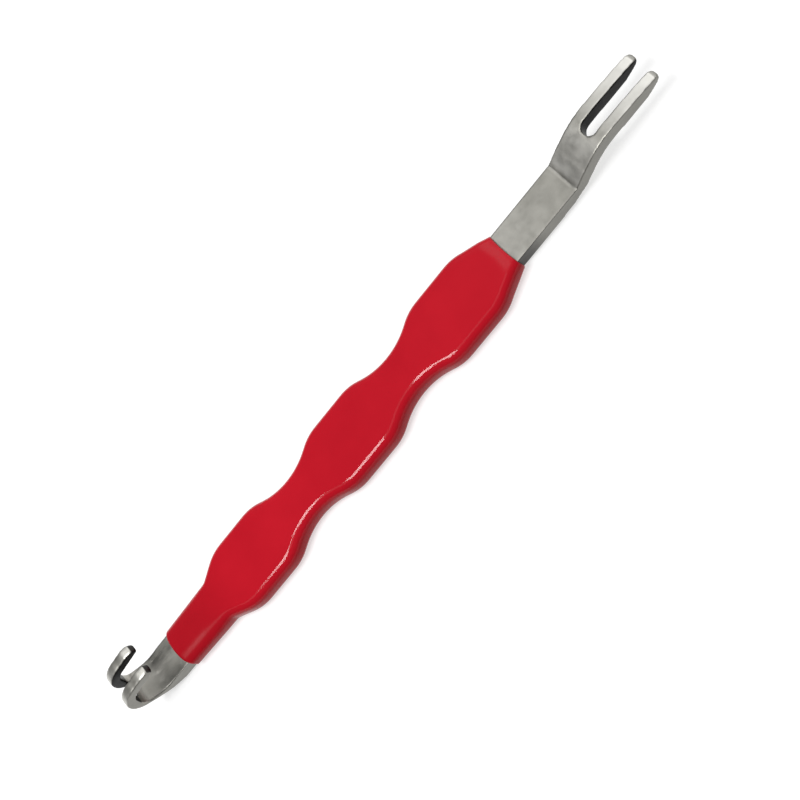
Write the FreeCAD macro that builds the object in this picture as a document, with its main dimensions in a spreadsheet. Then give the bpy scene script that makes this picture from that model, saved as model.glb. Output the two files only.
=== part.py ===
import FreeCAD, Part
import math
import os

import Sketcher

# Double-ended electrical-connector separator. One flat steel blade carries a two-prong push fork at +X and
# a two-tine pull hook at -X. A wavy vinyl grip is dipped over its middle.
# Millimetres. +X runs from hook to fork, +Y across the blade, +Z is the side that the hook curls to.
# The origin lies under the middle of the tool, on the flat underside of the grip that it rests on.

DIMENSIONS = {
    # steel stock
    "bar_width": 10.8,
    "bar_thick": 4.3,
    "bar_lift": 1.1,
    "blade_end": 107.5,
    # grip
    "grip_thick": 7.0,
    "grip_hook_end": -90.7,
    "grip_fork_end": 50.9,
    "hump_middle": -12.6,
    "hump_pitch": 43.2,
    "hump_half": 10.6,
    "waist_half": 6.8,
    "neck_half": 6.7,
    "cut_half": 6.35,
    "lip_half": 6.1,
    "lip_corner": 2.8,
    "first_flat_less": 0.9,
    "last_flat_more": 0.45,
    "coat_side": 1.45,
    "hump_round": 13.9,
    "waist_round": 21.3,
    "edge_round": 2.5,
    "lip_coat": 0.5,
    "lip_run": 4.5,
    "neck_run": 13.0,
    # fork
    "slot_width": 4.7,
    "fork_root": 85.3,
    "prong_corner": 1.1,
    "fork_rise": 6.1,
    # hook
    "hook_root": -105.3,
    "root_corner": 0.8,
    "curl_x": -101.0,
    "curl_z": 7.1,
    "curl_outer": 6.5,
    "throat_x": -102.1,
    "throat_z": 4.7,
    "curl_inner": 2.9,
    "hook_tip": -93.2,
    "tine_corner": 1.1,
    "tine_inner_corner": 0.5,
}
D = DIMENSIONS
FAR = 150.0
CLEARANCE = 10.0

doc = FreeCAD.newDocument("connector_separator")


def make_sheet():
    sheet = doc.addObject("Spreadsheet::Sheet", "Dims")
    for row, (alias, value) in enumerate(DIMENSIONS.items(), start=1):
        sheet.set(f"A{row}", alias)
        sheet.set(f"B{row}", str(value))
        sheet.setAlias(f"B{row}", alias)
    doc.recompute()


def origin_plane(body, role):
    return next(item for item in body.Origin.OriginFeatures if item.Role == role)


def new_sketch(body, name, role, offset=0.0):
    sketch = body.newObject("Sketcher::SketchObject", name)
    sketch.AttachmentSupport = [(origin_plane(body, role), "")]
    sketch.MapMode = "FlatFace"
    sketch.AttachmentOffset = FreeCAD.Placement(FreeCAD.Vector(0, 0, offset), FreeCAD.Rotation())
    return sketch


def line(x1, y1, x2, y2):
    return Part.LineSegment(FreeCAD.Vector(x1, y1, 0), FreeCAD.Vector(x2, y2, 0))


def arc(cx, cy, radius, start, end):
    """An arc from the start to the end heading, in degrees seen from its centre, with its two ends."""
    circle = Part.Circle(FreeCAD.Vector(cx, cy, 0), FreeCAD.Vector(0, 0, 1), radius)
    low, high = sorted((math.radians(start), math.radians(end)))
    piece = Part.ArcOfCircle(circle, low, high)
    ends = [(cx + radius * math.cos(math.radians(a)), cy + radius * math.sin(math.radians(a)))
            for a in (start, end)]
    return piece, ends[0], ends[1], start > end


def add_loop(sketch, steps):
    """Draws a closed loop. A step is a corner (x, y) or an arc (cx, cy, radius, start, end); straight
    lines join one step to the next. Returns the sketch's index for each arc, in order."""
    pieces = []
    for step in steps:
        if len(step) == 2:
            pieces.append((None, step, step, False))
        else:
            pieces.append(arc(*step))
    joints = []
    arcs = []
    for number, (piece, start, end, clockwise) in enumerate(pieces):
        if piece is not None:
            index = sketch.addGeometry(piece, False)
            arcs.append(index)
            joints.append((index, 2, 1) if clockwise else (index, 1, 2))
        following = pieces[(number + 1) % len(pieces)][1]
        if math.dist(end, following) > 1e-4:
            index = sketch.addGeometry(line(*end, *following), False)
            joints.append((index, 1, 2))
    for (first, _, leaves), (second, enters, _) in zip(joints, joints[1:] + joints[:1]):
        sketch.addConstraint(Sketcher.Constraint("Coincident", first, leaves, second, enters))
    return arcs


def bind(sketch, kind, args, name, expression):
    index = sketch.addConstraint(Sketcher.Constraint(kind, *args))
    sketch.renameConstraint(index, name)
    sketch.setExpression(f"Constraints.{name}", expression)


def bind_radius(sketch, index, name, expression):
    """Ties an arc's radius to the sheet."""
    bind(sketch, "Radius", (index, sketch.Geometry[index].Radius), name, expression)


def bind_centre_x(sketch, index, name, expression):
    """Ties how far along the tool an arc's centre lies to the sheet."""
    bind(sketch, "DistanceX", (-1, 1, index, 3, sketch.Geometry[index].Center.x), name, expression)


def bind_wave(sketch, arcs, shrink):
    """Ties the radii of one side's eight wave arcs: two for each hump, with a waist arc between humps."""
    for number, index in enumerate(arcs):
        if number % 3 == 2:
            bind_radius(sketch, index, f"waist{number}", f"Dims.waist_round + {shrink}")
        else:
            bind_radius(sketch, index, f"hump{number}", f"Dims.hump_round - {shrink}")


def pad(body, sketch, name, length, both_ways=False):
    feature = body.newObject("PartDesign::Pad", name)
    feature.Profile = sketch
    feature.Midplane = both_ways
    feature.setExpression("Length", length)
    doc.recompute()
    return feature


def pocket(body, sketch, name, upwards):
    """Cuts the sketch through everything on one side of its plane."""
    feature = body.newObject("PartDesign::Pocket", name)
    feature.Profile = sketch
    feature.Type = "Length"
    feature.Length = FAR
    feature.Reversed = upwards
    doc.recompute()
    return feature


def edges_near(shape, spots, within):
    found = []
    for number, edge in enumerate(shape.Edges, start=1):
        middle = edge.valueAt(0.5 * (edge.FirstParameter + edge.LastParameter))
        if any(middle.distanceToPoint(FreeCAD.Vector(*spot)) < within for spot in spots):
            found.append(f"Edge{number}")
    return found


def round_edges(body, base, name, edges, expression):
    feature = body.newObject("PartDesign::Fillet", name)
    feature.Base = (base, edges)
    feature.setExpression("Radius", expression)
    doc.recompute()
    return feature


def wave(half, waist, shrink):
    """Arcs of the +Y side of the three humps, from the hook's side to the fork's side. They meet
    tangentially: convex ones at the hump corners and one concave arc along each waist."""
    hump_r = D["hump_round"] - shrink
    waist_r = D["waist_round"] + shrink
    turn = math.degrees(math.acos(1.0 - (half - waist) / (hump_r + waist_r)))
    run = (hump_r + waist_r) * math.sin(math.radians(turn))
    flat = D["hump_pitch"] / 2 - run
    steps = []
    for number in (-1, 0, 1):
        middle = D["hump_middle"] + number * D["hump_pitch"]
        flat_left = flat - D["first_flat_less"] * (number == -1)
        flat_right = flat + D["last_flat_more"] * (number == 1)
        left = (middle - flat_left, half - hump_r, hump_r, 90 + turn, 90)
        right = (middle + flat_right, half - hump_r, hump_r, 90, 90 - turn)
        steps += [left, right]
        if number < 1:
            steps.append((middle + D["hump_pitch"] / 2, waist + waist_r, waist_r, 270 - turn, 270 + turn))
    return steps, turn


def mirrored(steps):
    """The same steps on the -Y side, in the opposite order."""
    back = []
    for step in reversed(steps):
        if len(step) == 2:
            back.append((step[0], -step[1]))
        else:
            cx, cy, radius, start, end = step
            back.append((cx, -cy, radius, -end, -start))
    return back


def slope_foot(end_arc, turn, level):
    """x at which the straight slope that leaves a hump's corner arc comes down to half-width level. The
    arc is (cx, cy, radius, heading of the slope's end); turn is negative on the fork's side."""
    cx, cy, radius, heading = end_arc
    x = cx + radius * math.cos(math.radians(heading))
    y = cy + radius * math.sin(math.radians(heading))
    return x - (y - level) / math.tan(math.radians(turn))


def lip_arc(end, half, foot, radius):
    """Arc that rounds the corner (end, half) of the coat, tangent to its end line and to the straight side
    that comes from the point foot."""
    outward = math.copysign(1.0, end - foot[0])
    slope = math.atan2(foot[1] - half, abs(end - foot[0]))
    reach = radius / math.tan(math.pi / 4 + slope / 2)
    centre = (end - outward * radius, half - reach)
    if outward > 0:
        return (*centre, radius, 90 - math.degrees(slope), 0)
    return (*centre, radius, 180, 90 + math.degrees(slope))


def blade_side():
    """Steps of the blade's side view. Height 0 is the bar's upper face."""
    low = -D["bar_thick"]
    tip = D["hook_tip"]
    return [
        # upper face: up the fork's joggle and along the prongs
        (73.8, 0),
        (78.1, 2.5),
        (84.6, 5.5),
        (88.6, D["fork_rise"]),
        (97.3, 5.75),
        (103.2, 5.35),
        (106.3, 4.9),
        (D["blade_end"], 4.2),
        # underside, back to the bar
        (D["blade_end"], 3.5),
        (105.0, 2.5),
        (102.0, 1.65),
        (87.0, 1.9),
        (83.2, 0.9),
        (76.6, -2.7),
        (71.0, -4.0),
        (65.0, low),
        # underside and outer curve of the hook
        (-93.6, low + 12.0, 12.0, 270, 230),
        (D["curl_x"], D["curl_z"], D["curl_outer"], 230, 125),
        (-99.6, 5.1, 8.95, 125, 90),
        (-96.4, 14.5),
        (tip - 0.6, 14.0),
        (tip, 12.0),
        # throat of the hook
        (-100.8, 7.5, 3.4, 102, 165),
        (D["throat_x"], D["throat_z"], D["curl_inner"], 165, 242),
        (-97.3, 9.0, 9.0, 242, 270),
    ]


def make_blade():
    body = doc.addObject("PartDesign::Body", "Blade")
    body.Label = "steel_blade"
    side = new_sketch(body, "BladeSide", "XZ_Plane")
    arcs = add_loop(side, blade_side())
    curl, throat = arcs[1], arcs[4]
    bind_radius(side, curl, "curl_outer", "Dims.curl_outer")
    bind_centre_x(side, curl, "curl_x", "Dims.curl_x")
    bind_radius(side, throat, "curl_inner", "Dims.curl_inner")
    bind_centre_x(side, throat, "throat_x", "Dims.throat_x")
    doc.recompute()
    pad(body, side, "BladeForging", "2 * (Dims.hump_half - Dims.coat_side)", both_ways=True)

    half = D["bar_width"] / 2
    slot = D["slot_width"] / 2
    corner = D["prong_corner"]
    end = D["blade_end"]
    wavy, turn = wave(D["hump_half"] - D["coat_side"], half, D["coat_side"])
    upper = [
        (-FAR + CLEARANCE, half),
        (slope_foot(wavy[0][:4], turn, half), half),
        *wavy,
        (slope_foot(wavy[-1][:3] + wavy[-1][4:], -turn, half), half),
        (end - corner, half - corner, corner, 90, 0),
        (end - corner, slot + corner, corner, 0, -90),
        (D["fork_root"] + slot, 0, slot, 90, 180),
    ]
    plan = new_sketch(body, "BladePlan", "XY_Plane", -CLEARANCE)
    arcs = add_loop(plan, upper + mirrored(upper))
    add_loop(plan, [(-FAR, -FAR), (FAR, -FAR), (FAR, FAR), (-FAR, FAR)])
    bind_wave(plan, arcs[:8], "Dims.coat_side")
    outer_corner, inner_corner, fork_end = arcs[8:11]
    bind_radius(plan, outer_corner, "outer_corner", "Dims.prong_corner")
    bind_centre_x(plan, outer_corner, "outer_corner_x", "Dims.blade_end - Dims.prong_corner")
    bind_radius(plan, inner_corner, "inner_corner", "Dims.prong_corner")
    bind_radius(plan, fork_end, "fork_slot", "Dims.slot_width / 2")
    bind_centre_x(plan, fork_end, "fork_slot_x", "Dims.fork_root + Dims.slot_width / 2")
    pocket(body, plan, "BladeOutline", True)

    low_slot = new_sketch(body, "HookSlotLow", "XY_Plane", -CLEARANCE)
    ease = D["root_corner"]
    arcs = add_loop(low_slot, [
        (-FAR, -slot),
        (D["hook_root"] - ease, ease - slot, ease, -90, 0),
        (D["hook_root"] - ease, slot - ease, ease, 0, 90),
        (-FAR, slot),
    ])
    bind_radius(low_slot, arcs[0], "root_corner", "Dims.root_corner")
    bind_centre_x(low_slot, arcs[0], "hook_root_x", "Dims.hook_root - Dims.root_corner")
    pocket(body, low_slot, "HookSlotInBend", True)

    high_slot = new_sketch(body, "HookSlotHigh", "XY_Plane", 5.0)
    add_loop(high_slot, [(-FAR, -slot), (-80.0, -slot), (-80.0, slot), (-FAR, slot)])
    cut = pocket(body, high_slot, "HookSlotInTines", True)

    outer = [(D["hook_tip"] - 0.3, y, 13.0) for y in (half, -half)]
    cut = round_edges(body, cut, "TineCorners", edges_near(cut.Shape, outer, 0.6), "Dims.tine_corner")
    inner = [(D["hook_tip"] - 0.3, y, 13.0) for y in (slot, -slot)]
    round_edges(body, cut, "TineInnerCorners", edges_near(cut.Shape, inner, 0.6), "Dims.tine_inner_corner")
    body.setExpression("Placement.Base.z", "Dims.bar_lift + Dims.bar_thick")
    doc.recompute()
    return body


def make_grip(blade):
    body = doc.addObject("PartDesign::Body", "GripCoat")
    start, end = D["grip_hook_end"], D["grip_fork_end"]
    wavy, turn = wave(D["hump_half"], D["waist_half"], 0.0)
    neck = (start + D["neck_run"], D["neck_half"])
    last_hump = arc(*wavy[-1])[2]
    upper = [
        lip_arc(start, D["cut_half"], neck, D["lip_corner"]),
        neck,
        (slope_foot(wavy[0][:4], turn, D["neck_half"]), D["neck_half"]),
        *wavy,
        lip_arc(end, D["lip_half"], last_hump, D["lip_corner"]),
    ]
    plan = new_sketch(body, "GripPlan", "XY_Plane")
    arcs = add_loop(plan, upper + mirrored(upper))
    bind_wave(plan, arcs[1:9], "0")
    bind_radius(plan, arcs[0], "hook_lip", "Dims.lip_corner")
    bind_centre_x(plan, arcs[0], "hook_lip_x", "Dims.grip_hook_end + Dims.lip_corner")
    bind_radius(plan, arcs[9], "fork_lip", "Dims.lip_corner")
    bind_centre_x(plan, arcs[9], "fork_lip_x", "Dims.grip_fork_end - Dims.lip_corner")
    coat = pad(body, plan, "GripSolid", "Dims.grip_thick")
    rims = [
        f"Edge{number}" for number, edge in enumerate(coat.Shape.Edges, start=1)
        if edge.BoundBox.ZLength < 1e-6
    ]
    round_edges(body, coat, "GripRounding", rims, "Dims.edge_round")

    # towards the fork the coat thins to a lip that is nearly flush with the steel
    top = D["grip_thick"]
    lip_low = D["bar_lift"] - D["lip_coat"]
    lip_top = D["bar_lift"] + D["bar_thick"] + D["lip_coat"]
    run = end - D["lip_run"]
    taper = new_sketch(body, "LipTaper", "XZ_Plane")
    add_loop(taper, [(run, top), (end, lip_top), (end + 1, top), (end + 1, top + 1), (run, top + 1)])
    add_loop(taper, [(run, 0), (run, -1), (end + 1, -1), (end + 1, 0), (end, lip_low)])
    doc.recompute()
    thinned = body.newObject("PartDesign::Pocket", "LipThinning")
    thinned.Profile = taper
    thinned.Midplane = True
    thinned.Length = FAR
    doc.recompute()

    grip = doc.addObject("Part::Cut", "Grip")
    grip.Label = "vinyl_grip"
    grip.Base = body
    grip.Tool = blade
    doc.recompute()
    return grip


def check_and_export(parts):
    for item in doc.Objects:
        if "Invalid" in item.State or "Error" in item.State:
            raise RuntimeError(f"{item.Name}: {item.State}")
    os.makedirs("parts", exist_ok=True)
    for part in parts:
        if part.Shape.isNull() or not part.Shape.isValid():
            raise RuntimeError(f"{part.Label} has no valid shape")
        part.Shape.exportStep(f"parts/{part.Label}.step")
        box = part.Shape.BoundBox
        print(part.Label, len(part.Shape.Solids), round(part.Shape.Volume), box)


make_sheet()
steel_blade = make_blade()
vinyl_grip = make_grip(steel_blade)
check_and_export([steel_blade, vinyl_grip])
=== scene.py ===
import math

import bmesh
import bpy
import numpy as np
from mathutils import Matrix, Vector, noise


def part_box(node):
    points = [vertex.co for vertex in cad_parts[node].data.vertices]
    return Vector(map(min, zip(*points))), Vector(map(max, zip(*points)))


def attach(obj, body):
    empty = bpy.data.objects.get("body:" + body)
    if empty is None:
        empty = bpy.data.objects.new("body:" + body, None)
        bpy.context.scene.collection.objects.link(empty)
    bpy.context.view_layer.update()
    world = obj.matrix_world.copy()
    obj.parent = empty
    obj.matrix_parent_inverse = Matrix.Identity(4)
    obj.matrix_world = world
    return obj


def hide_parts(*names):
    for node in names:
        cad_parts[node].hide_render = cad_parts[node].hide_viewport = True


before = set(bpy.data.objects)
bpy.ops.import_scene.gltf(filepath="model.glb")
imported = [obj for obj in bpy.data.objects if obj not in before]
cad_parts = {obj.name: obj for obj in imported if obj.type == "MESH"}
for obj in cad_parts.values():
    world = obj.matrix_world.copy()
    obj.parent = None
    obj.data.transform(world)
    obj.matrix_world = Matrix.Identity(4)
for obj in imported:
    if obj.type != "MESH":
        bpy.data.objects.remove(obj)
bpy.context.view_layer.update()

# Looks of a double-ended connector separator: a satin steel blade with a fork and a hook, in a glossy red
# dipped grip. Shapes are worked out in millimetres in the CAD frame and written in metres.
MM = 0.001

GRIP_LOW, GRIP_HIGH = (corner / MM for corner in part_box("vinyl_grip"))
BLADE_LOW, BLADE_HIGH = (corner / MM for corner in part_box("steel_blade"))

# the bar inside the grip
BAR_HALF = 5.4
BAR_LOW = BLADE_LOW.z
BAR_TOP = BAR_LOW + 4.3

# the grip's wavy outline, as it was made in CAD
HUMP_MIDDLE, HUMP_PITCH = -12.6, 43.2
HUMP_HALF, WAIST_HALF = 10.6, 6.8
HUMP_ROUND, WAIST_ROUND = 13.9, 21.3
FIRST_FLAT_LESS, LAST_FLAT_MORE = 0.9, 0.45
CUT_HALF, NECK_HALF, NECK_RUN, LIP_HALF = 6.35, 6.7, 13.0, 6.1
COAT_SIDE = 1.45

rng = np.random.default_rng(7)


def smooth_step(value, low, high):
    t = np.clip((value - low) / (high - low), 0.0, 1.0)
    return t * t * (3.0 - 2.0 * t)


# ---------------------------------------------------------------- materials

def new_material(name):
    material = bpy.data.materials.new(name)
    material.use_nodes = True
    nodes = material.node_tree.nodes
    return material, nodes, material.node_tree.links, nodes["Principled BSDF"]


def noise_node(nodes, links, coords, scale, detail, rough=0.5, stretch=None):
    texture = nodes.new("ShaderNodeTexNoise")
    texture.inputs["Scale"].default_value = scale
    texture.inputs["Detail"].default_value = detail
    texture.inputs["Roughness"].default_value = rough
    source = coords
    if stretch is not None:
        mapping = nodes.new("ShaderNodeMapping")
        mapping.inputs["Scale"].default_value = stretch
        links.new(coords, mapping.inputs["Vector"])
        source = mapping.outputs["Vector"]
    links.new(source, texture.inputs["Vector"])
    return texture.outputs["Fac"]


def grey(value):
    return (value, value, value)


def ramp(nodes, links, source, stops):
    node = nodes.new("ShaderNodeValToRGB")
    elements = node.color_ramp.elements
    while len(elements) < len(stops):
        elements.new(0.5)
    for element, (place, colour) in zip(elements, stops):
        element.position = place
        element.color = (*colour, 1.0)
    links.new(source, node.inputs["Fac"])
    return node.outputs["Color"]


def remap(nodes, links, source, low, high):
    """Stretches a noise's usual range, 0.3 to 0.7, to low and high."""
    node = nodes.new("ShaderNodeMapRange")
    node.inputs["From Min"].default_value = 0.3
    node.inputs["From Max"].default_value = 0.7
    node.inputs["To Min"].default_value = low
    node.inputs["To Max"].default_value = high
    links.new(source, node.inputs["Value"])
    return node.outputs["Result"]


def multiply(nodes, links, first, second):
    node = nodes.new("ShaderNodeMix")
    node.data_type = "RGBA"
    node.blend_type = "MULTIPLY"
    node.inputs["Factor"].default_value = 1.0
    links.new(first, node.inputs["A"])
    links.new(second, node.inputs["B"])
    return node.outputs["Result"]


def bump(nodes, links, height, distance, strength, before=None):
    node = nodes.new("ShaderNodeBump")
    node.inputs["Strength"].default_value = strength
    node.inputs["Distance"].default_value = distance
    links.new(height, node.inputs["Height"])
    if before is not None:
        links.new(before, node.inputs["Normal"])
    return node.outputs["Normal"]


def steel_material():
    """Satin, tumbled steel, as bright as the mesh's tone attribute says; that tone is painted light and
    shade.
    """
    material, nodes, links, shader = new_material("satin_steel")
    coords = nodes.new("ShaderNodeTexCoord").outputs["Object"]
    tone = nodes.new("ShaderNodeAttribute")
    tone.attribute_name = "tone"
    base = ramp(nodes, links, tone.outputs["Fac"], [
        (0.0, (0.012, 0.012, 0.012)),
        (0.35, (0.10, 0.099, 0.094)),
        (0.7, (0.38, 0.371, 0.338)),
        (1.0, (0.80, 0.79, 0.75)),
    ])
    mottle = noise_node(nodes, links, coords, 260.0, 4.0, 0.6)
    patches = ramp(nodes, links, mottle, [(0.3, (0.88, 0.88, 0.87)), (0.7, (1.0, 1.0, 1.0))])
    streaks = noise_node(nodes, links, coords, 420.0, 3.0, 0.5, stretch=(0.35, 1.0, 1.0))
    lines = ramp(nodes, links, streaks, [(0.35, grey(0.93)), (0.65, grey(1.0))])
    colour = multiply(nodes, links, multiply(nodes, links, base, patches), lines)
    links.new(colour, shader.inputs["Base Color"])
    shader.inputs["Metallic"].default_value = 1.0
    links.new(remap(nodes, links, mottle, 0.36, 0.50), shader.inputs["Roughness"])
    grain = noise_node(nodes, links, coords, 3200.0, 2.0)
    relief = bump(nodes, links, grain, 0.00002, 0.35)
    relief = bump(nodes, links, mottle, 0.00004, 0.15, relief)
    links.new(relief, shader.inputs["Normal"])
    return material


def vinyl_material():
    """Glossy dipped vinyl with a faint orange peel. Where the mesh's tone attribute is low, down the sides
    and on the neck, the red is darkened by painted shade and the coat is less shiny."""
    material, nodes, links, shader = new_material("dipped_vinyl")
    coords = nodes.new("ShaderNodeTexCoord").outputs["Object"]
    tone = nodes.new("ShaderNodeAttribute")
    tone.attribute_name = "tone"
    # painted shade: the red is darkened where the tone is low, down the sides and on the neck
    depth = ramp(nodes, links, tone.outputs["Fac"], [(0.0, (0.62, 0.5, 0.5)), (1.0, grey(1.0))])
    cloud = noise_node(nodes, links, coords, 60.0, 3.0, 0.55)
    red = ramp(nodes, links, cloud, [(0.3, (0.458, 0.004, 0.014)), (0.7, (0.510, 0.006, 0.017))])
    links.new(multiply(nodes, links, red, depth), shader.inputs["Base Color"])
    peel = noise_node(nodes, links, coords, 700.0, 2.0)
    blur_stops = [(0.0, grey(0.20)), (0.45, grey(0.19)), (0.9, grey(0.085))]
    links.new(ramp(nodes, links, tone.outputs["Fac"], blur_stops), shader.inputs["Roughness"])
    # the reflection is turned down where the tone is low, alongside the painted shade
    shine_stops = [(0.0, grey(0.15)), (0.4, grey(0.9)), (0.95, grey(1.0))]
    shine = ramp(nodes, links, tone.outputs["Fac"], shine_stops)
    links.new(shine, shader.inputs["Specular Tint"])
    relief = bump(nodes, links, peel, 0.00002, 0.03)
    relief = bump(nodes, links, cloud, 0.0004, 0.03, relief)
    links.new(relief, shader.inputs["Normal"])
    shader.inputs["IOR"].default_value = 1.45
    shader.inputs["Specular IOR Level"].default_value = 0.24
    return material


def floor_material():
    """Pale and faintly glowing, so that it is near white without strong lights."""
    material, nodes, links, shader = new_material("studio_floor")
    coords = nodes.new("ShaderNodeTexCoord").outputs["Object"]
    speck = noise_node(nodes, links, coords, 8.0, 2.0)
    colour = ramp(nodes, links, speck, [(0.3, grey(0.50)), (0.7, grey(0.52))])
    links.new(colour, shader.inputs["Base Color"])
    shader.inputs["Roughness"].default_value = 0.9
    shader.inputs["Specular IOR Level"].default_value = 0.1
    shader.inputs["Emission Color"].default_value = (1.0, 1.0, 1.0, 1.0)
    shader.inputs["Emission Strength"].default_value = 0.60
    return material


# ---------------------------------------------------------------- helpers for pieces

def add_piece(name, mesh, material, node):
    mesh.materials.clear()
    mesh.materials.append(material)
    piece = bpy.data.objects.new(name, mesh)
    bpy.context.scene.collection.objects.link(piece)
    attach(piece, "root")
    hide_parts(node)
    return piece


def vertex_table(mesh):
    table = np.empty(len(mesh.vertices) * 3)
    mesh.vertices.foreach_get("co", table)
    return table.reshape(-1, 3)


def normal_table(mesh):
    table = np.empty(len(mesh.vertices) * 3)
    mesh.vertex_normals.foreach_get("vector", table)
    return table.reshape(-1, 3)


# ---------------------------------------------------------------- blade

VOXEL = 0.30
SOFTENING_ROUNDS = 4
HOOK_ROUNDS = 8
CREASE_X, CREASE_DEEP, CREASE_WIDE = 73.8, 0.16, 0.38
WAVE_HIGH = 0.007
DENTS = 14
SLOT_HALF = 2.35
FORK_ROOT = 85.3


def remeshed(node):
    """The blade's surface as an even mesh in millimetres, snapped back onto the solid and then softened at
    its corners by a few rounds of smoothing."""
    solid = bmesh.new()
    solid.from_mesh(node.data)
    bmesh.ops.remove_doubles(solid, verts=solid.verts, dist=1e-6)
    bmesh.ops.transform(solid, matrix=Matrix.Scale(1.0 / MM, 4), verts=solid.verts)
    mesh = bpy.data.meshes.new("blade_source")
    solid.to_mesh(mesh)
    solid.free()
    source = bpy.data.objects.new("blade_source", mesh)
    even = bpy.data.objects.new("blade_even", mesh)
    for helper in (source, even):
        bpy.context.scene.collection.objects.link(helper)
    remesh = even.modifiers.new("even", "REMESH")
    remesh.mode = "VOXEL"
    remesh.voxel_size = VOXEL
    snap = even.modifiers.new("snap", "SHRINKWRAP")
    snap.target = source
    snap.wrap_method = "NEAREST_SURFACEPOINT"
    soften = even.modifiers.new("soften", "SMOOTH")
    soften.factor = 0.5
    soften.iterations = SOFTENING_ROUNDS
    graph = bpy.context.evaluated_depsgraph_get()
    result = bpy.data.meshes.new_from_object(even.evaluated_get(graph))
    for helper in (source, even):
        bpy.data.objects.remove(helper)
    bpy.data.meshes.remove(mesh)
    return result


def worn(points, mesh):
    """Rounds the hook's edges further, as tumbling does, by pulling each point towards its neighbours."""
    edges = np.empty(len(mesh.edges) * 2, dtype=np.int64)
    mesh.edges.foreach_get("vertices", edges)
    first, second = edges.reshape(-1, 2).T
    count = np.bincount(edges, minlength=len(points))
    pull = 0.5 * (1.0 - smooth_step(points[:, 0], -97.5, -94.0)) * (points[:, 0] < 0)
    pull = np.maximum(pull, 0.5 * smooth_step(points[:, 2], 8.0, 9.0) * (points[:, 0] < 0))
    for _ in range(HOOK_ROUNDS):
        total = np.empty_like(points)
        for axis in range(3):
            total[:, axis] = np.bincount(first, points[second, axis], len(points))
            total[:, axis] += np.bincount(second, points[first, axis], len(points))
        points = points + pull[:, None] * (total / count[:, None] - points)
    return points


def forged_relief(points, normals):
    """How far each point moves along its normal: slow forging waves, the press mark across the start of
    the joggle, and a few handling dents on the hook."""
    waves = np.array([
        noise.noise(Vector(p) * 0.16) + 0.4 * noise.noise(Vector(p) * 0.55) for p in points
    ])
    move = WAVE_HIGH * waves
    upward = smooth_step(normals[:, 2], 0.5, 0.8)
    across = points[:, 1]
    crease = np.exp(-((points[:, 0] - CREASE_X - 0.02 * across) / CREASE_WIDE) ** 2)
    move -= CREASE_DEEP * crease * upward * smooth_step(across, -4.6, -2.5)
    for _ in range(DENTS):
        centre = np.array([rng.uniform(-101.0, -92.0), rng.uniform(-4.5, 4.5), BAR_TOP])
        reach = rng.uniform(0.35, 0.8)
        depth = rng.uniform(0.02, 0.06)
        away = np.linalg.norm((points - centre) * (0.5, 1.0, 0.3), axis=1)
        move -= depth * np.exp(-(away / reach) ** 2) * upward
    return move


# (x, height over the bar's top) of the joggle's top and underside, corner by corner
JOGGLE_TOP = [(74.0, 0.0), (78.1, 2.5), (84.6, 5.5), (88.6, 6.1), (97.3, 5.75), (103.2, 5.35), (110.0, 4.9)]
JOGGLE_LOW = [(64.0, -4.3), (71.0, -4.0), (76.6, -2.7), (83.2, 0.9), (87.0, 1.9), (102.0, 1.65), (110.0, 1.6)]
BEND_SOFTNESS = 2.0


def ease_joggle(points):
    """Rounds the bends of the fork's joggle, top and underside, leaving the press mark sharp."""
    x = points[:, 0]
    fine = np.arange(60.0, 112.0, 0.1)
    kernel = np.exp(-0.5 * (np.arange(-60, 61) * 0.1 / BEND_SOFTNESS) ** 2)
    kernel /= kernel.sum()
    moved = []
    for corners in (JOGGLE_TOP, JOGGLE_LOW):
        line = np.interp(fine, *np.array(corners).T)
        padded = np.pad(line, 60, mode="edge")
        soft = np.convolve(padded, kernel, "valid")
        moved.append((np.interp(x, fine, line) + BAR_TOP, np.interp(x, fine, soft - line)))
    (top, top_move), (low, low_move) = moved
    share = np.clip((points[:, 2] - low) / (top - low), 0.0, 1.0)
    fade = smooth_step(x, 77.2, 79.5) * (1.0 - smooth_step(x, 99.0, 102.0))
    points[:, 2] += fade * (share * top_move + (1.0 - share) * low_move)
    return points


# Tones run from 0 for the darkest cut walls up to 1 for bright steel, and are mostly painted light and shade.
# The table below is (x, tone) of the upper and lower faces: painted shade by the hook, painted light in the
# joggle and towards the prongs' tips.
PAINTED_LIGHT_ALONG = [
    (-106.0, 0.80), (-102.0, 0.61), (-98.5, 0.52), (-95.5, 0.57), (-90.0, 0.67),
    (52.0, 0.75), (73.0, 0.69), (75.5, 0.92), (79.0, 0.80), (83.0, 0.84), (87.0, 0.71),
    (96.0, 0.92), (104.0, 0.99),
]
# painted shade: the side walls' tone, darker than the faces
WALL_SHADE_TONE = 0.54
# painted shade on the long top edges and on the walls by the coat
EDGE_SHADE, COAT_SHADE = 0.34, 0.26
# painted light on the tines' tops and the back of the curl, and a painted highlight at the tines' tips
TINE_PAINTED_LIGHT, CURL_PAINTED_LIGHT, TIP_HIGHLIGHT = 0.17, 0.04, 0.10
# painted shade on the slot walls and on the tines' and prongs' ends
SLOT_SHADE, TINE_END_SHADE, PRONG_END_SHADE = 0.76, 0.70, 0.30


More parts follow.
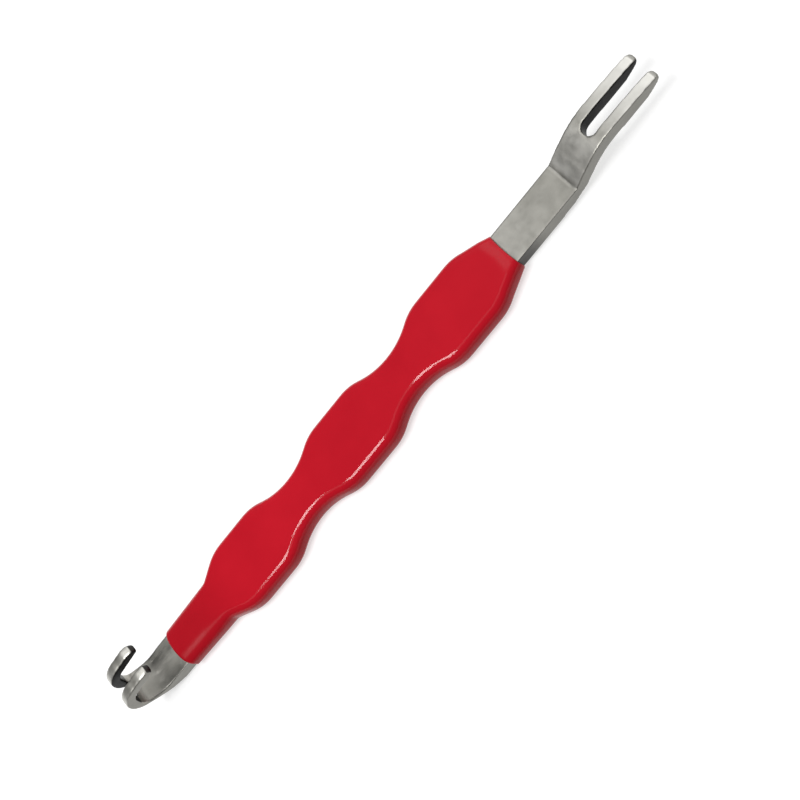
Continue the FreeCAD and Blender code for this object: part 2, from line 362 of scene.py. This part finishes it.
def steel_painted_shading(points, normals):
    """The tone of each point: painted light and shade from the face that it lies on and where it lies on the
    blade.
    """
    x, y, z = points.T
    forward, upward = normals[:, 0], normals[:, 2]
    lean = np.abs(normals[:, 1])
    side = smooth_step(lean, 0.55, 0.9)
    face = 1.0 - side
    hook = x < 0
    # painted light and shade along the faces, and painted shade on the side walls
    tone = np.interp(x, *np.array(PAINTED_LIGHT_ALONG).T) * face + WALL_SHADE_TONE * side
    # painted shade on the long edges between top and sides, up to the prongs, dimming the highlight that they
    # catch
    long_edge = smooth_step(lean, 0.06, 0.22) * (1.0 - smooth_step(lean, 0.6, 0.9))
    tone -= EDGE_SHADE * (x > 0) * (1.0 - smooth_step(x, 84.0, 90.0)) * long_edge
    # painted shade on the walls where they come out of the coat
    tone -= COAT_SHADE * side * (x > 0) * (1.0 - smooth_step(x, 51.0, 62.0))
    # painted light on the tines' tops, brighter than the bar inside the hook, and a painted highlight at
    # their tips
    tine_top = hook * (x < -93.0) * smooth_step(z, 11.0, 12.0) * smooth_step(upward, 0.0, 0.5)
    tone += TINE_PAINTED_LIGHT * tine_top * face
    # painted light on the back of the curl, low down
    curl_back = hook * smooth_step(-forward, 0.3, 0.8) * (1.0 - smooth_step(z, 7.0, 13.0))
    tone += CURL_PAINTED_LIGHT * curl_back * face
    tone += TIP_HIGHLIGHT * hook * smooth_step(x, -98.6, -96.6) * smooth_step(z, 17.6, 18.6) * face
    # painted shade on the punched slot walls
    in_slot = 1.0 - smooth_step(np.abs(y), SLOT_HALF + 0.15, SLOT_HALF + 0.55)
    fork_slot = in_slot * smooth_step(x, FORK_ROOT - 0.6, FORK_ROOT - 0.2)
    hook_slot = in_slot * np.maximum(
        1.0 - smooth_step(x, -105.2, -104.9), smooth_step(z, 10.2, 10.6) * hook
    )
    inward = 1.0 - smooth_step(np.abs(upward), 0.45, 0.75)
    tone -= SLOT_SHADE * np.maximum(fork_slot, hook_slot) * inward
    # painted shade on the tines' blunt ends and the prongs' rounded ones
    tone -= TINE_END_SHADE * hook * smooth_step(z, 10.8, 11.6) * smooth_step(forward, 0.55, 0.8)
    tone -= PRONG_END_SHADE * smooth_step(x, 105.0, 106.5) * smooth_step(forward, 0.25, 0.7)
    return np.clip(tone, 0.0, 1.0)


def make_blade(material):
    mesh = remeshed(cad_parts["steel_blade"])
    points = worn(vertex_table(mesh), mesh)
    mesh.vertices.foreach_set("co", points.ravel())
    mesh.update()
    normals = normal_table(mesh)
    points = ease_joggle(points + normals * forged_relief(points, normals)[:, None])
    tones = steel_painted_shading(points, normals)
    low, high = np.array(BLADE_LOW), np.array(BLADE_HIGH)
    points = np.clip(points, low, high)
    mesh.vertices.foreach_set("co", (points * MM).ravel())
    tone = mesh.attributes.new("tone", "FLOAT", "POINT")
    tone.data.foreach_set("value", tones.astype(np.float32))
    mesh.polygons.foreach_set("use_smooth", [True] * len(mesh.polygons))
    mesh.update()
    return add_piece("blade_forged", mesh, material, "steel_blade")


# ---------------------------------------------------------------- grip

def wave_points():
    """Points of the +Y side of the grip's outline, from the hook's side to the fork's side."""
    turn = math.acos(1.0 - (HUMP_HALF - WAIST_HALF) / (HUMP_ROUND + WAIST_ROUND))
    flat = HUMP_PITCH / 2 - (HUMP_ROUND + WAIST_ROUND) * math.sin(turn)
    quarter = math.pi / 2
    points = [(GRIP_LOW.x, CUT_HALF), (GRIP_LOW.x + NECK_RUN, NECK_HALF)]
    first_foot = None
    for number in (-1, 0, 1):
        middle = HUMP_MIDDLE + number * HUMP_PITCH
        left = middle - flat + FIRST_FLAT_LESS * (number == -1)
        right = middle + flat + LAST_FLAT_MORE * (number == 1)
        level = HUMP_HALF - HUMP_ROUND
        rising = np.linspace(quarter + turn, quarter, 12)
        falling = np.linspace(quarter, quarter - turn, 12)
        if first_foot is None:
            start = (left + HUMP_ROUND * math.cos(rising[0]), level + HUMP_ROUND * math.sin(rising[0]))
            first_foot = (start[0] - (start[1] - NECK_HALF) / math.tan(turn), NECK_HALF)
            points.append(first_foot)
        points += [(left + HUMP_ROUND * math.cos(a), level + HUMP_ROUND * math.sin(a)) for a in rising]
        points += [(right + HUMP_ROUND * math.cos(a), level + HUMP_ROUND * math.sin(a)) for a in falling]
        if number < 1:
            bottom = np.linspace(-quarter - turn, -quarter + turn, 24)[1:-1]
            points += [
                (middle + HUMP_PITCH / 2 + WAIST_ROUND * math.cos(a),
                 WAIST_HALF + WAIST_ROUND + WAIST_ROUND * math.sin(a))
                for a in bottom
            ]
    points.append((GRIP_HIGH.x, LIP_HALF))
    return np.array(points)


STATION_STEP = 0.5
EDGE_WIDE, EDGE_DEEP = 2.5, 2.55
NECK_EDGE = 4.2
CROWN = 0.05
# painted shade on the neck: its tone is lowered, fading out along the grip
NECK_SHADE_TO, NECK_SHADE_FADE, NECK_SHADE_TONE = -84.0, 24.0, 0.45
CORE_GAP = 0.08
OUTLINE_SOFTNESS = 0.5
HOOK_NOSE, FORK_NOSE = 1.0, 0.30
HOOK_BOW, FORK_DIP = 0.8, 0.3
LIP_RUN, LIP_FALL, LIP_LIFT = 3.6, 0.70, 0.1
CORNER_POINTS = 10
FLAT_POINTS = 10


def nose(away, radius):
    """How far a rounded end has drawn in, at a distance from its tip."""
    left = np.clip(radius - away, 0.0, radius)
    return radius - np.sqrt(radius * radius - left * left)


def grip_stations():
    middle = np.arange(GRIP_LOW.x + 1.5, GRIP_HIGH.x - 1.5, STATION_STEP)
    ease = 1.5 * (1.0 - np.cos(np.linspace(0, math.pi / 2, 12)))
    return np.concatenate([GRIP_LOW.x + ease[:-1], middle, (GRIP_HIGH.x - ease[:-1])[::-1]])


def half_section():
    """One side of the grip's section from the middle of its top to the middle of its underside, as
    (share of the flat, inset of the rounded edge, which face: 1 top, 0 underside)."""
    corner = np.linspace(0.0, math.pi / 2, CORNER_POINTS)
    flat = np.linspace(0.0, 1.0, FLAT_POINTS)[:-1]
    rows = [(share, 1.0, 1.0, 1) for share in flat]
    rows += [(1.0, 1.0 - math.sin(a), math.cos(a), 1) for a in corner]
    rows += [(1.0, 1.0 - math.sin(a), math.cos(a), 0) for a in corner[::-1]]
    rows += [(share, 1.0, 1.0, 0) for share in flat[::-1]]
    return rows


def make_grip(material):
    """The dipped coat, lofted along its length: an outer skin and an inner one round the bar."""
    outline = wave_points()
    stations = grip_stations()
    fine = np.arange(GRIP_LOW.x - 3.0, GRIP_HIGH.x + 3.0, 0.1)
    width = np.interp(fine, outline[:, 0], outline[:, 1])
    kernel = np.exp(-0.5 * (np.arange(-20, 21) * 0.1 / OUTLINE_SOFTNESS) ** 2)
    width = np.convolve(width, kernel / kernel.sum(), "same")
    slope = np.gradient(width, fine)
    half = np.interp(stations, fine, width)
    tilt = np.interp(stations, fine, slope)
    section = half_section()
    full = [(row, 1.0) for row in section] + [(row, -1.0) for row in section[::-1]]
    solid = bmesh.new()
    rings = {True: [], False: []}
    for x, wide, lean in zip(stations, half, tilt):
        from_hook, from_fork = x - GRIP_LOW.x, GRIP_HIGH.x - x
        drawn = nose(from_hook, HOOK_NOSE) + nose(from_fork, FORK_NOSE)
        side_drawn = 0.85 * nose(from_hook, HOOK_NOSE) + nose(from_fork, FORK_NOSE)
        fall = float(smooth_step(LIP_RUN - from_fork, 0.0, LIP_RUN))
        top = GRIP_HIGH.z - LIP_FALL * fall - drawn
        low = LIP_LIFT * fall + drawn
        reach = wide - side_drawn
        normal_x = -lean / math.hypot(1.0, lean)
        normal_y = 1.0 / math.hypot(1.0, lean)
        deep = min(EDGE_DEEP, (top - low) / 2)
        neck = 1.0 - float(smooth_step(x, GRIP_LOW.x + NECK_RUN - 3.0, GRIP_LOW.x + NECK_RUN + 6.0))
        edge_wide = EDGE_WIDE + (NECK_EDGE - EDGE_WIDE) * neck
        for inner in (False, True):
            ring = []
            for (share, inset, depth, upper), sign in full:
                back = edge_wide * inset
                y = (reach - back * normal_y) * share if share < 1.0 else reach - back * normal_y
                px = x - back * normal_x * share * (1.0 - math.exp(-from_fork / 2.0))
                crown = CROWN * (y / reach) ** 2 * (1.0 - fall)
                if upper:
                    z = top - deep * (1.0 - depth) - crown
                else:
                    z = low + deep * (1.0 - depth)
                bent = (abs(y) / reach) ** 3
                px += HOOK_BOW * math.exp(-from_hook / 3.0) * bent
                px -= FORK_DIP * math.exp(-from_fork / 2.0) * (1.0 - (y / reach) ** 2)
                if inner:
                    core = max(BAR_HALF, reach - COAT_SIDE) - CORE_GAP
                    y *= core / reach
                    share_up = (z - (top + low) / 2) / ((top - low) / 2)
                    z = (BAR_TOP + BAR_LOW) / 2 + share_up * ((BAR_TOP - BAR_LOW) / 2 - CORE_GAP)
                ring.append(solid.verts.new((px * MM, sign * y * MM, z * MM)))
            rings[inner].append(ring)
    count = len(full)

    def join(first, second, flip):
        for k in range(count):
            after = (k + 1) % count
            corners = (first[k], first[after], second[after], second[k])
            solid.faces.new(corners[::-1] if flip else corners)

    for inner in (False, True):
        for first, second in zip(rings[inner], rings[inner][1:]):
            join(first, second, inner)
    join(rings[True][0], rings[False][0], False)
    join(rings[False][-1], rings[True][-1], False)
    bmesh.ops.remove_doubles(solid, verts=solid.verts, dist=1e-7)
    bmesh.ops.recalc_face_normals(solid, faces=solid.faces)
    for face in solid.faces:
        face.smooth = True
    mesh = bpy.data.meshes.new("grip_dipped")
    solid.to_mesh(mesh)
    solid.free()
    # painted shade: the tone falls down the sides, where the surface turns away from the top, and on the neck
    upward = normal_table(mesh)[:, 2]
    along = vertex_table(mesh)[:, 0] / MM
    past_neck = smooth_step(along, NECK_SHADE_TO, NECK_SHADE_TO + NECK_SHADE_FADE)
    tones = smooth_step(upward, 0.1, 0.92) * (NECK_SHADE_TONE + (1.0 - NECK_SHADE_TONE) * past_neck)
    tone = mesh.attributes.new("tone", "FLOAT", "POINT")
    tone.data.foreach_set("value", tones.astype(np.float32))
    return add_piece("grip_dipped", mesh, material, "vinyl_grip")


# ---------------------------------------------------------------- stage, light, camera

FLOOR_HALF, FLOOR_DROP = 3.0, 0.00005


def make_floor():
    mesh = bpy.data.meshes.new("floor")
    corners = [(x * FLOOR_HALF, y * FLOOR_HALF, 0) for x, y in ((-1, -1), (1, -1), (1, 1), (-1, 1))]
    mesh.from_pydata(corners, [], [(0, 1, 2, 3)])
    mesh.materials.append(floor_material())
    floor = bpy.data.objects.new("floor", mesh)
    floor.location.z = -FLOOR_DROP
    bpy.context.scene.collection.objects.link(floor)


def area_light(name, place, size, watts):
    """A rectangular light that shines straight down, with its size along X and Y."""
    data = bpy.data.lights.new(name, "AREA")
    data.shape = "RECTANGLE"
    data.size, data.size_y = size
    data.energy = watts
    light = bpy.data.objects.new(name, data)
    light.location = place
    bpy.context.scene.collection.objects.link(light)


GLOW_TOWARDS = (0.5, 0.5, 0.707)
GLOW_STRENGTH = 1.9


def make_world():
    """A soft grey studio that brightens towards one big window-like glow beyond the fork."""
    world = bpy.data.worlds.new("studio")
    bpy.context.scene.world = world
    world.use_nodes = True
    nodes, links = world.node_tree.nodes, world.node_tree.links
    background = nodes["Background"]
    facing = nodes.new("ShaderNodeVectorMath")
    facing.operation = "DOT_PRODUCT"
    facing.inputs[1].default_value = GLOW_TOWARDS
    links.new(nodes.new("ShaderNodeTexCoord").outputs["Generated"], facing.inputs[0])
    shades = [(0.0, 0.22), (0.55, 0.24), (0.80, 0.42), (0.92, 1.0), (1.0, 1.9)]
    stops = [(place, (shade / GLOW_STRENGTH,) * 3) for place, shade in shades]
    links.new(ramp(nodes, links, facing.outputs["Value"], stops), background.inputs["Color"])
    background.inputs["Strength"].default_value = GLOW_STRENGTH


def make_lights():
    """A small light for the crisp edge highlights and a long, weak one for the soft band."""
    area_light("overhead", (-0.335, -0.06, 1.10), (0.23, 0.52), 8.2)
    area_light("strip", (-0.30, -0.10, 1.15), (1.3, 0.40), 1.6)


SENSOR_WIDTH, LENS = 36.0, 65.81
CAMERA_PLACE = (0.07814, -0.18218, 0.33258)
CAMERA_RIGHT, CAMERA_BACK = (0.6218, -0.6201, -0.4784), (0.1961, -0.4681, 0.8617)


def make_camera():
    """Looks steeply down on the tool from its near side, turned so that the fork is at the upper right."""
    data = bpy.data.cameras.new("camera")
    data.sensor_width = SENSOR_WIDTH
    data.lens = LENS
    data.clip_start, data.clip_end = 0.01, 20.0
    camera = bpy.data.objects.new("camera", data)
    right = Vector(CAMERA_RIGHT).normalized()
    back = Vector(CAMERA_BACK).normalized()
    up = back.cross(right).normalized()
    right = up.cross(back).normalized()
    turn = Matrix((right, up, back)).transposed()
    camera.matrix_world = Matrix.Translation(CAMERA_PLACE) @ turn.to_4x4()
    bpy.context.scene.collection.objects.link(camera)
    bpy.context.scene.camera = camera


make_camera()
make_world()
make_lights()
make_floor()
bpy.context.scene.view_settings.view_transform = "Standard"
make_blade(steel_material())
make_grip(vinyl_material())
